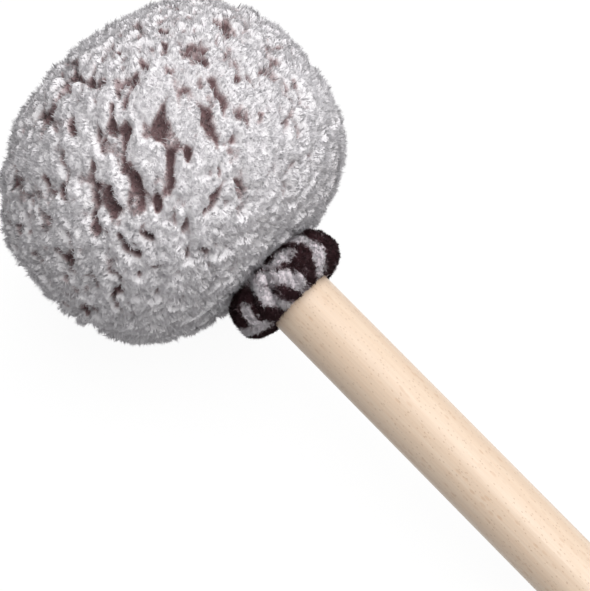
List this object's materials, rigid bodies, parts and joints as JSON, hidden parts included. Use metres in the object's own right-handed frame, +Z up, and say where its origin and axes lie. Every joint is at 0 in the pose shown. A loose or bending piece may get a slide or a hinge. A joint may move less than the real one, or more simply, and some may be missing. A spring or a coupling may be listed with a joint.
{
  "type": "gong mallet",
  "caption": "Large gong mallet: a weighted, fleece-covered round head with a gathered cuff on a plain round wooden handle, lying at rest.",
  "frame": {"origin": "middle of the bounding box's base, on the surface that the mallet lies on", "axes": "+Z up; +X along the mallet's length, from the head towards the butt; +Y across it"},
  "size_m": [0.3756, 0.1308, 0.1286],
  "materials": {
    "beech": "satin",
    "core_wood": "matte",
    "weight_steel": "brushed",
    "washer_steel": "satin",
    "screw_steel": "satin",
    "sleeve_felt": "matte",
    "rear_felt": "matte",
    "front_felt": "matte",
    "batting": "matte",
    "fleece": "long pile",
    "cord": "matte",
    "cuff_fleece": "short pile"
  },
  "bodies": {
    "root": {"handle": "beech", "core": "core_wood", "core_weight": "weight_steel", "retaining_washer": "washer_steel", "core_screw": "screw_steel", "felt_sleeve": "sleeve_felt", "rear_felt_disc": "rear_felt", "front_felt_disc": "front_felt", "batting": "batting", "fleece_cover": "fleece", "neck_cord": "cord", "neck_cuff": "cuff_fleece"}
  },
  "joints": []
}
